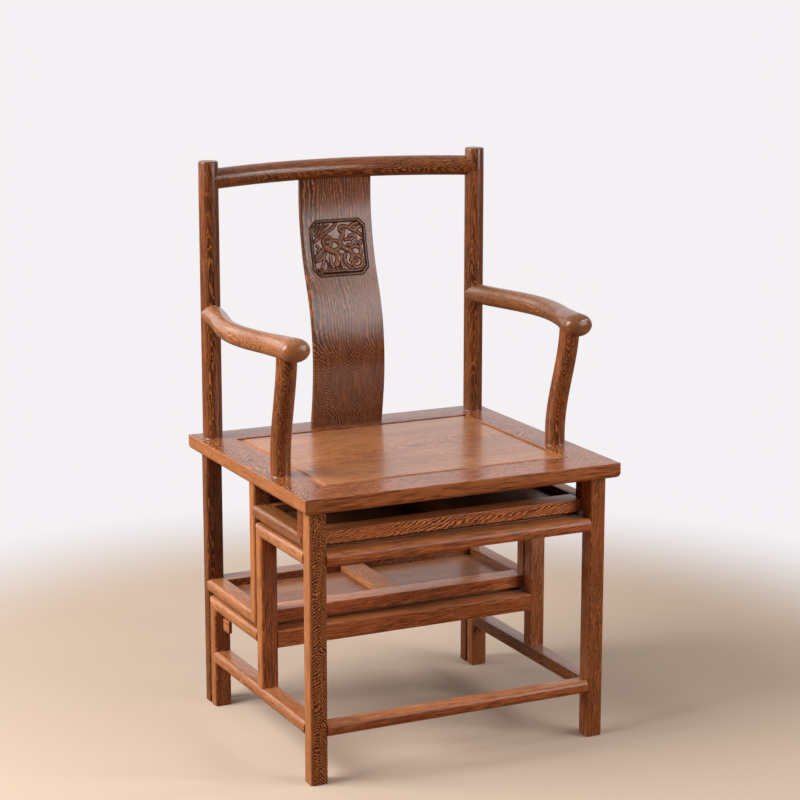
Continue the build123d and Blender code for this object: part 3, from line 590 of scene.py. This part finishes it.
def buildSteps():
    reach, foot, seam = joinery["frontReach"], chair["rearFoot"], chair["seamSwing"]
    midFixed, midSwing = chair["midFixed"], chair["midSwing"]
    upper, lower = chair["treads"]
    upperSoffit, lowerSoffit = chair["soffits"]
    buildStep("fixed_upper_step", front, upper, -1, (chair["legFront"] - reach, midFixed[1]),
              (midFixed[1], chair["seamFixed"]), nose="round")
    buildStep("fixed_lower_step", front, lower, -1, (midFixed[0] - reach, foot[1]),
              (foot[1], midFixed[1]), frontHigh=chair["tallRail"])
    # front rail tones above 1 are painted light, for the light that reaches them under the seat
    buildStep("swing_upper_step", rear, upperSoffit, 1, (seam, midSwing[1]),
              (seam, midSwing[0]), faceCut="rail", tones=(1.6, 0.85, 0.4))
    buildStep("swing_lower_step", rear, lowerSoffit, 1, (midSwing[0], chair["rearLeg"][1]),
              (midSwing[0], chair["rearLeg"][0]), tones=(1.65, 1.3, 1.0))
    middle, half = sum(midSwing) / 2, steps["apronHalf"]
    plank = rectangle(middle - half, middle + half, upperSoffit + chair["railHigh"],
                      chair["seatUnder"], steps["apronEase"], 2)
    addPiece("swing_apron", board(plank, "x", -chair["postIn"], chair["postIn"]),
             rear, "x", "y", "plain", tone=steps["apronTone"])


seat = {
    "underRound": 0.009, "topArris": 0.0012, "joint": 0.0003, "holeEdge": 0.0005, "edgeSteps": 6,
    "battenHalf": 0.022, "battenTop": 0.471, "battenLift": 0.0001, "battenEase": 0.0012,
    "panelTone": 1.3, "frontTone": 1.2,
}


def seatOutline(inner, outer):
    z0, z1 = chair["seatUnder"], chair["seatTop"]
    return eased([(inner, z0), (outer, z0), (outer, z1), (inner, z1)],
                 [seat["joint"], seat["underRound"], seat["topArris"], seat["holeEdge"]],
                 seat["edgeSteps"])


def dress(node, material):
    # a CAD node that stays visible
    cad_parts[node].data.materials.clear()
    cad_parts[node].data.materials.append(material)


def buildSeat():
    # the four rails meet in mitres that run from the hole's corners to the seat's corners
    hole, out, seam = chair["holeSide"], chair["seatSide"], chair["seamSwing"]
    holeFront, holeBack = chair["holeFront"], chair["holeBack"]
    frontSlope = (chair["seatFront"] - holeFront) / (out - hole)
    backSlope = (chair["seatBack"] - holeBack) / (out - hole)
    side = crossed(seatOutline(hole, out), 0, hole + (seam - holeFront) / frontSlope)
    side = board(side, "y", lambda x, z: np.maximum(seam, holeFront + (x - hole) * frontSlope),
                 lambda x, z: holeBack + (x - hole) * backSlope)
    addPair("seat_side_rail", side, rear, "y", "z", "seatSide")
    behind = board(seatOutline(holeBack, chair["seatBack"]), "x",
                   lambda y, z: -hole - (y - holeBack) / backSlope,
                   lambda y, z: hole + (y - holeBack) / backSlope)
    addPiece("seat_rear_rail", behind, rear, "x", "z", "seatFront")
    addPiece("seat_panel", panelSolid(hole, holeFront, holeBack, chair["seatTop"], -1),
             rear, "x", "z", "panel", "panel_wood", seat["panelTone"])
    half = seat["battenHalf"]
    batten = rectangle(-half, half, chair["seatUnder"] + seat["battenLift"], seat["battenTop"],
                       seat["battenEase"], 3)
    addPiece("seat_batten", board(batten, "y", holeFront, holeBack), rear, "y", "z", "plain",
             "inner_wood")
    for rail in ("seat_front_rail", "seat_hinge_rail"):
        dress(rail, chickenWing(rail + "Wood", "x", "z", "seatFront", seat["frontTone"]))
    for hand in ("left", "right"):
        dress("seat_front_corner_" + hand,
              chickenWing("seatFrontCornerWood" + hand, "y", "z", "seatSide"))
    metal = brass()
    dress("hinge_fixed_bodies", metal)
    dress("hinge_swing_bodies", metal)


back = {
    "postTop": 0.960, "topRound": 0.003, "postTones": (0.72, 0.72),
    "lip": 0.0009, "lipHigh": 0.002, "lipSteps": (-0.002, 0.0, 0.0006, 0.0012, 0.002),
    "crestHeight": 0.9315, "crestRadius": 0.0175, "crestBow": 0.043, "crestArch": 0.0035,
    "crestTone": 0.82, "splatTone": 0.75,
    "splatHalf": 0.068, "splatThick": 0.010, "splatEdge": 0.0015, "splatRow": 0.004,
    # the splat's curve: shares of its height, and how far it lies behind the posts there
    "splatRise": (0.0, 0.18, 0.37, 0.49, 0.62, 0.73, 0.84, 1.0),
    "splatSetback": (-0.001, -0.012, -0.009, 0.003, 0.0235, 0.036, 0.043, 0.043),
}


def circles(centres, radii, across, up, count=48):
    # rings of points: centre + r (cos q across + sin q up)
    q = np.linspace(0, 2 * pi, count, endpoint=False)[None, :, None]
    radii = np.asarray(radii, float)
    sizes = radii[:, None, None] * np.ones((1, 1, 2)) if radii.ndim == 1 else radii[:, None, :]
    return (centres[:, None] + np.cos(q) * sizes[..., :1] * across[:, None]
            + np.sin(q) * sizes[..., 1:] * up[:, None])


def sweep(centres, radii):
    # tube round a path, its section square to the path and one axis level
    heading = np.gradient(centres, axis=0)
    heading /= np.linalg.norm(heading, axis=1)[:, None]
    across = np.cross(heading, [0.0, 0.0, 1.0])
    across /= np.linalg.norm(across, axis=1)[:, None]
    return shell(circles(centres, radii, across, np.cross(across, heading)))


def column(centres, radii):
    # upright tube of level circles
    level = np.tile([1.0, 0.0, 0.0], (len(radii), 1))
    depth = np.tile([0.0, 1.0, 0.0], (len(radii), 1))
    return shell(circles(centres, radii, level, depth))


def lip(height):
    # small lip at a round post's foot, which falls off as the square of the height left
    return back["lip"] * np.clip(1 - height / back["lipHigh"], 0, 1) ** 2


def buildPosts():
    # a square leg below the seat, and above it a round post whose top edge is a quarter round
    square = board(postOutline(*chair["rearLeg"]), "z", 0.0, chair["seatUnder"], joinery["foot"])
    seatTop, rowCount = chair["seatTop"], 14
    turn = np.linspace(0, pi / 2, 6)
    topZ = back["postTop"] - back["topRound"] * (1 - np.sin(turn))
    footZ = seatTop + np.array(back["lipSteps"])
    shaftZ = np.linspace(seatTop + 2 * back["lipHigh"], topZ[0], rowCount)[:-1]
    heights = np.concatenate([footZ, shaftZ, topZ])
    radii = chair["roundR"] + lip(np.maximum(heights - seatTop, 0))
    radii[-len(turn):] -= back["topRound"] * (1 - np.cos(turn))
    level = np.ones(len(heights))
    centres = np.column_stack([chair["roundX"] * level, chair["roundY"] * level, heights])
    addPair("back_post", joined([square, column(centres, radii)]), rear, "z", "y", "round",
            tones=back["postTones"])


def splineAt(knots, values, at):
    # Natural cubic spline: the second derivatives solve one linear system, and each span is a
    # cubic.
    knots, values = np.array(knots), np.array(values)
    gap, rise = np.diff(knots), np.diff(values) / np.diff(knots)
    count = len(knots)
    system, right = np.eye(count), np.zeros(count)
    inner = np.arange(1, count - 1)
    system[inner, inner - 1], system[inner, inner + 1] = gap[:-1], gap[1:]
    system[inner, inner] = 2 * (gap[:-1] + gap[1:])
    right[1:-1] = 6 * np.diff(rise)
    bend = np.linalg.solve(system, right)
    i = np.clip(np.searchsorted(knots, at) - 1, 0, count - 2)
    left, rest = at - knots[i], knots[i + 1] - at
    return ((bend[i] * rest ** 3 + bend[i + 1] * left ** 3) / (6 * gap[i])
            + (values[i] / gap[i] - bend[i] * gap[i] / 6) * rest
            + (values[i + 1] / gap[i] - bend[i + 1] * gap[i] / 6) * left)


def buildCrest():
    # The centre line is an arc through both post axes, bowed backwards and a little upwards.
    bow, half, rowCount = back["crestBow"], chair["roundX"], 90
    radius = (half ** 2 + bow ** 2) / (2 * bow)
    x = np.linspace(-half, half, rowCount)
    setback = bow - radius + np.sqrt(radius ** 2 - x ** 2)
    height = back["crestHeight"] + back["crestArch"] * (setback / bow - 1)
    path = np.column_stack([x, chair["roundY"] + setback, height])
    addPiece("crest_rail", sweep(path, np.full(len(x), back["crestRadius"])),
             rear, "x", "y", "crest", tone=back["crestTone"])


# The carved medallion. Its frame is given by places and half widths in millimetres in from the
# outline. Strokes are in millimetres from its middle: points that a smooth line runs through, its
# half width, its height and, where it is ribbed, the ribs' spacing.
carving = {
    "middle": 0.7925, "half": (0.054, 0.049), "corner": 0.013, "cell": 0.00055, "pad": 0.002,
    "field": ((0.044, 0.047), (0.040, 0.043)),      # where the plain field fades across and up
    "firstGroove": (0.4, 1.1), "beadPlace": (2.9, 1.5), "secondGroove": (5.2, 1.1),
    "secondShade": (5.2, 1.3), "groundFrom": 5.0, "strokesFrom": 5.4, "blend": 0.8,
    "ground": -0.0010, "groove": 0.0016, "bead": 0.0011, "relief": 0.0030,
    "outline": 1.05, "outlineGap": 0.1, "outlineDeep": 0.0008, "ribs": 0.14, "ribLean": 0.35,
    "grooveShade": 0.9, "allShade": 0.12,           # painted shade: how dark the grooves and the whole are
    "strokes": [
        ([(-46, 12), (-34, 20), (-22, 27), (-9, 35), (-3, 41)], 2.2, 0.9, 2.2),
        ([(-44, 22), (-40, 32), (-34, 40)], 1.3, 0.6, 0),
        ([(-38, 22), (-34, 32), (-26, 40)], 1.3, 0.6, 0),
        ([(-32, 25), (-27, 33), (-18, 39)], 1.3, 0.6, 0),
        ([(-44, 30), (-42, 36), (-41, 41)], 1.2, 0.5, 0),
        ([(46, 18), (36, 25), (24, 31), (12, 36), (4, 33), (6, 27), (12, 28)], 2.3, 0.9, 2.2),
        ([(24, 33), (30, 38), (40, 40)], 2.6, 0.7, 1.6),
        ([(34, 28), (40, 33), (46, 34)], 2.6, 0.7, 1.6),
        ([(-30, 10), (-27, 17), (-18, 18), (-13, 12), (-16, 5), (-25, 3),
          (-30, 10)], 2.6, 0.9, 2.4),
        ([(-23, 10), (-19, 10)], 3.4, 0.8, 0),
        ([(-14, 12), (-6, 12), (1, 7), (1, -1), (-6, -4)], 2.6, 1.0, 2.0),
        ([(-24, 0), (-15, -5), (-6, -10), (-3, -20), (-8, -30)], 4.6, 1.0, 3.0),
        ([(-46, -14), (-38, -9), (-30, -1)], 2.2, 0.8, 2.0),
        ([(-46, -22), (-36, -18), (-27, -9)], 2.2, 0.8, 2.0),
        ([(-30, -12), (-31, -22), (-36, -32)], 2.0, 0.8, 0),
        ([(-17, -12), (-18, -24), (-14, -34)], 2.2, 0.8, 0),
        ([(10, 27), (8, 18), (4, 10), (6, 2), (14, -4), (22, -8), (25, -16),
          (22, -24)], 3.6, 1.0, 2.6),
        ([(14, 12), (22, 13), (28, 9), (26, 3), (18, 3)], 2.2, 0.8, 2.0),
        ([(22, 18), (29, 20), (34, 15)], 2.0, 0.7, 0),
        ([(24, -2), (33, 0), (41, -5), (41, -13), (34, -17), (27, -14)], 2.5, 0.9, 2.2),
        ([(34, -17), (42, -22), (42, -31), (34, -36), (25, -33), (26, -26),
          (32, -25)], 2.5, 0.9, 2.2),
        ([(12, -12), (9, -20), (11, -29), (18, -35)], 2.6, 0.9, 2.2),
        ([(4, -14), (2, -24), (4, -36)], 2.0, 0.8, 0),
        ([(-26, -22), (-24, -30), (-27, -38)], 0.9, 0.6, 0),
        ([(-21, -26), (-20, -33), (-21, -39)], 0.9, 0.6, 0),
        ([(-12, -30), (-9, -35), (-10, -39)], 0.9, 0.6, 0),
        ([(-3, -32), (-2, -37), (-4, -40)], 0.9, 0.6, 0),
        ([(-42, -36), (-30, -40), (-14, -41), (4, -40), (20, -41), (40, -40)], 1.6, 0.7, 3.0),
        ([(36, 8), (42, 4), (45, 10)], 1.8, 0.6, 0),
        ([(-42, 4), (-38, -1), (-42, -5)], 1.8, 0.6, 0),
    ],
}


def throughPoints(points):
    # Smooth line through points, one place per millimetre: each coordinate is a natural spline of
    # the length run so far.
    points = np.array(points, float)
    run = np.concatenate([[0], np.cumsum(np.linalg.norm(np.diff(points, axis=0), axis=1))])
    at = np.linspace(0, run[-1], max(int(run[-1]), 2) + 1)
    smooth = splineAt if len(points) > 2 else lambda knots, values, x: np.interp(x, knots, values)
    return np.column_stack([smooth(run, points[:, i], at) for i in range(2)]), at


def carvedHeight(u, v):
    # Height of the carving over a grid, in metres, and how deep it lies in painted shade. The
    # frame's depth depends on the distance s in from the outline, a rectangle with its corners cut
    # off: a groove, a round bead, a second groove, then the ground. A stroke of half width w stands
    # sqrt(1 - (d/w)^2) of its height over the ground at distance d from its line, and a cut runs
    # round it. The painted shade darkens the two grooves and the cut round each stroke, and a
    # little of it lies over the whole medallion.
    halfU, halfV = carving["half"]
    box = np.maximum(np.abs(u) - halfU, np.abs(v) - halfV)
    cut = (np.abs(u) + np.abs(v) - (halfU + halfV - carving["corner"])) / 2 ** 0.5
    s = -np.maximum(box, cut) * 1000

    def bump(middle, half):
        return np.sqrt(np.clip(1 - ((s - middle) / half) ** 2, 0, 1))

    def past(begin):
        return np.clip((s - begin) / carving["blend"], 0, 1)

    groove = bump(*carving["firstGroove"])
    height = -carving["groove"] * groove + carving["bead"] * bump(*carving["beadPlace"])
    height -= carving["groove"] * bump(*carving["secondGroove"])
    height += carving["ground"] * past(carving["groundFrom"])
    relief, outline = np.zeros_like(u), np.zeros_like(u)
    for points, half, rise, ribs in carving["strokes"]:
        line, run = throughPoints(points)
        away = np.hypot(u[..., None] * 1000 - line[:, 0], v[..., None] * 1000 - line[:, 1])
        nearest = away.argmin(-1)
        d = np.take_along_axis(away, nearest[..., None], -1)[..., 0]
        shape = np.sqrt(np.clip(1 - (d / half) ** 2, 0, 1)) * rise
        if ribs:
            turn = 2 * pi * (run[nearest] + carving["ribLean"] * d) / ribs
            shape = shape * (1 - carving["ribs"] + carving["ribs"] * np.cos(turn))
        relief = np.maximum(relief, shape)
        off = (d - half - carving["outlineGap"]) / carving["outline"]
        outline = np.maximum(outline, np.clip(1 - off ** 2, 0, 1))
    inside = past(carving["strokesFrom"])
    outline = outline * np.clip(1 - 1.6 * relief, 0, 1) * inside
    height += (carving["relief"] * relief - carving["outlineDeep"] * outline) * inside
    shade = np.maximum(groove, bump(*carving["secondShade"])) * carving["grooveShade"]
    shade = np.maximum(shade, outline) + carving["allShade"] * (s > 0)
    return height, np.clip(shade, 0, 1)


def buildSplat():
    # Rings up the splat, dense where the medallion is, each shifted back by a spline of its height.
    # The points on each ring's front edge are then moved forwards by the carving, and carry its
    # painted shade.
    half, thick, edge = back["splatHalf"], back["splatThick"] / 2, back["splatEdge"]
    (halfU, halfV), middle = carving["half"], carving["middle"]
    pad, row = carving["pad"], back["splatRow"]
    fineX = np.linspace(-halfU - pad, halfU + pad, int(2 * (halfU + pad) / carving["cell"]))
    fineZ = np.linspace(middle - halfV - pad, middle + halfV + pad,
                        int(2 * (halfV + pad) / carving["cell"]))
    coarse = np.linspace(half - edge - pad / 2, halfU + pad + pad / 2, 6)
    columns = np.concatenate([-coarse, fineX, coarse[::-1]])
    base, top = chair["seatTop"], back["crestHeight"]
    below = np.arange(base, fineZ[0] - pad, row)
    above = np.append(np.arange(fineZ[-1] + pad * 1.5, top - pad, row), top)
    z = np.concatenate([below, fineZ, above])
    setback = splineAt(back["splatRise"], back["splatSetback"], (z - base) / (top - base))
    corners = rectangle(-half, half, -thick, thick, edge, 3)
    face = np.column_stack([columns, np.full(len(columns), -thick)])
    outline = np.concatenate([corners[:4], face, corners[4:]])
    carved = slice(4, 4 + len(columns))
    rings = np.zeros((len(z), len(outline), 3))
    rings[..., 0] = outline[None, :, 0]
    rings[..., 1] = outline[None, :, 1] + (chair["roundY"] + setback)[:, None]
    rings[..., 2] = z[:, None]
    height, shade = carvedHeight(*np.meshgrid(columns, z - middle))
    rings[:, carved, 1] -= height
    # the carving's painted shade, kept on each point for the material
    hollowShade = np.zeros(rings.shape[:2], np.float32)
    hollowShade[:, carved] = shade
    material = chickenWing("back_splatWood", "z", "y", "splat", back["splatTone"], carved=True)
    piece = meshFrom("back_splat", *shell(rings), rear, "splat_wood", material)
    shades = piece.data.attributes.new("hollowShade", "FLOAT", "POINT")
    shades.data.foreach_set("value", hollowShade.ravel())


arms = {
    "height": 0.6975, "radius": 0.0175, "bow": 0.034, "sharpness": 1.7, "splay": 0.001,
    "run": 0.387, "knobStart": 0.76, "knobFull": 0.95, "knobHalf": (0.0255, 0.0195),
    "knobRound": 2.3, "tones": (1.0, 0.76), "postTones": (0.9, 0.9),
    "postRadius": 0.017, "foot": (0.255, -0.09725), "lean": 0.039, "straight": 0.1, "tuck": 0.003,
}


def armCentre(s):
    # bowed outwards by a sine to a power, and splayed a little towards the tip
    outward = arms["bow"] * np.sin(pi * s) ** arms["sharpness"] + arms["splay"] * s
    return np.column_stack([chair["roundX"] + outward, chair["roundY"] - s * arms["run"],
                            np.full(len(s), arms["height"])])


def buildArms():
    # The arm swells into a knob that closes as a superellipse. Its post leans forwards by a smooth
    # step, 3 t^2 - 2 t^3, above a short straight part.
    start, full, power = arms["knobStart"], arms["knobFull"], arms["knobRound"]
    tip = full + (1 - full) * np.sin(np.linspace(0, pi / 2, 16))[1:]
    s = np.concatenate([np.linspace(0.0, full, 70), tip])
    swell = np.clip((s - start) / (full - start), 0, 1)
    past = np.clip((s - full) / (1 - full), 0, 0.9995)
    close = (1 - past ** power) ** (1 / power)
    half = np.array(arms["knobHalf"])
    sizes = (arms["radius"] + swell[:, None] * (half - arms["radius"])) * close[:, None]
    addPair("arm", sweep(armCentre(s), sizes), rear, "y", "x", "arm", tones=arms["tones"])

    share = np.concatenate([[0.0, 0.003, 0.006, 0.01], np.linspace(0.02, 1, 56)])
    rise = np.clip((share - arms["straight"]) / (1 - arms["straight"]), 0, 1)
    swing = 3 * rise ** 2 - 2 * rise ** 3
    footX, footY = arms["foot"]
    headY = footY - arms["lean"]
    headX = armCentre(np.array([(chair["roundY"] - headY) / arms["run"]]))[0, 0] - arms["tuck"]
    climb = share * (arms["height"] - chair["seatTop"])
    centres = np.column_stack([footX + swing * (headX - footX), footY + swing * (headY - footY),
                               chair["seatTop"] + climb])
    addPair("arm_post", column(centres, arms["postRadius"] + lip(climb)), rear, "z", "y", "round",
            tones=arms["postTones"])


studio = {
    "camera": (-1.65195, -3.41265, 1.38182), "target": (0.00179, -0.01125, 0.56375),
    "lens": 102.82,
    "floor": "#bfa893", "speck": "#c6b09c", "floorUnseen": "#8a664c", "sky": "#f4f1f4",
    "floorRadius": 9, "floorSides": 96, "floorLevel": -0.0002,
    "ambient": 0.27,            # how much of the room's light the surfaces take
    "roomFront": 0.12,          # the room's level in front of the chair, against 1 behind it
    # a wall's light fades in between two levels of that direction, up to its strength
    "backWall": (-0.35, 0.45, 1.0), "leftWall": (0.35, 0.95, 0.6), "ceiling": (0.45, 0.95, 0.8),
    "fade": (0.85, 1.5),        # radii between which the floor turns into the white background
    "lamps": [                  # name, place, aim, size and watts
        ("keyLamp", (-2.50, 0.20, 2.15), (0, 0, 0.5), 2.2, 155),
        ("fillLamp", (1.95, -2.4, 1.50), (0, 0, 0.6), 2.0, 57),
        ("sideLamp", (2.4, -0.9, 2.0), (0, 0, 0.7), 0.4, 10),
        ("cornerLamp", (2.0, -1.75, 2.2), (0, 0, 0.7), 0.4, 10),
        ("rearLamp", (-1.7, 3.0, 2.3), (0, 0, 0.5), 1.8, 18),
    ],
}


def aimed(name, data, place, aim):
    # a lamp or camera at a place, turned to look at another
    thing = bpy.data.objects.new(name, data)
    thing.location = place
    thing.rotation_euler = (Vector(aim) - Vector(place)).to_track_quat("-Z", "Y").to_euler()
    bpy.context.scene.collection.objects.link(thing)
    return thing


def buildLamps():
    for name, place, aim, size, watts in studio["lamps"]:
        data = bpy.data.lights.new(name, "AREA")
        data.shape = "DISK"
        data.size = size
        data.energy = watts
        aimed(name, data, place, aim)


def buildCamera():
    scene = bpy.context.scene
    scene.view_settings.view_transform = "Standard"
    data = bpy.data.cameras.new("camera")
    data.sensor_width = 36.0
    data.lens = studio["lens"]
    data.clip_end = 100
    scene.camera = aimed("camera", data, studio["camera"], studio["target"])


def buildWorld():
    # White wherever it is looked at. As light it is a room with white walls behind and on the left.
    world = bpy.data.worlds.new("studioWorld")
    bpy.context.scene.world = world
    world.use_nodes = True
    world.node_tree.nodes.clear()
    start = Wire(world.node_tree)
    seen = start.add("LightPath", {}, {}, "Is Camera Ray")
    mirror = start.add("LightPath", {}, {}, "Is Glossy Ray")
    through = start.add("LightPath", {}, {}, "Is Transmission Ray")
    seen = seen.maths("MAXIMUM", seen, through)
    heading = start.add("TexCoord", {}, {}, "Generated")

    def wall(side, name):
        low, high, level = studio[name]
        return side.step(low, high) * level

    room = wall(heading.part("y"), "backWall")
    room = room.maths("MAXIMUM", room, wall(0 - heading.part("x"), "leftWall"))
    room = room.maths("MAXIMUM", room, wall(heading.part("z"), "ceiling"))
    room = room * (1 - studio["roomFront"]) + studio["roomFront"]
    lit = room * (mirror * (1 - studio["ambient"]) + studio["ambient"])
    sky = start.add("Background", {},
                    {"Color": tint(studio["sky"]), "Strength": lit.maths("MAXIMUM", lit, seen)})
    start.add("OutputWorld", {}, {"Surface": sky})


def buildFloor():
    # matt disc that turns into the white background further out, for the camera alone
    material, start = newMaterial("plainFloor")
    place = start.add("TexCoord", {}, {}, "Object")
    speck = start.add("TexNoise", {}, {"Vector": place, "Scale": 180.0, "Detail": 3.0})
    seen = start.add("LightPath", {}, {}, "Is Camera Ray")
    pale = speck.mix(tint(studio["floor"]), tint(studio["speck"]))
    colour = seen.mix(tint(studio["floorUnseen"]), pale)
    bump = start.add("Bump", {}, {"Strength": 0.15, "Distance": 0.0005, "Height": speck})
    matt = start.add("BsdfPrincipled", {},
                     {"Base Color": colour, "Roughness": 0.85, "Normal": bump})
    glow = start.add("Emission", {}, {"Color": tint(studio["sky"])})
    far = start.add("VectorMath", {"operation": "LENGTH"}, {0: place}, "Value")
    edge = start.add("MixShader", {}, {0: far.step(*studio["fade"]) * seen, 1: matt, 2: glow})
    start.add("OutputMaterial", {}, {"Surface": edge})
    sides, radius = studio["floorSides"], studio["floorRadius"]
    q = np.linspace(0, 2 * pi, sides, endpoint=False)
    level = np.full(sides, studio["floorLevel"])
    mesh = bpy.data.meshes.new("floor")
    mesh.from_pydata(np.column_stack([radius * np.cos(q), radius * np.sin(q), level]), [],
                     [list(range(sides))])
    mesh.materials.append(material)
    floor = bpy.data.objects.new("floor", mesh)
    bpy.context.scene.collection.objects.link(floor)


buildCamera()
buildWorld()
buildFloor()
buildLamps()
print("studio ready")
buildFrames()
buildSteps()
print("frames and steps ready")
buildSeat()
print("seat ready")
buildPosts()
buildCrest()
buildSplat()
buildArms()
print("back and arms ready")
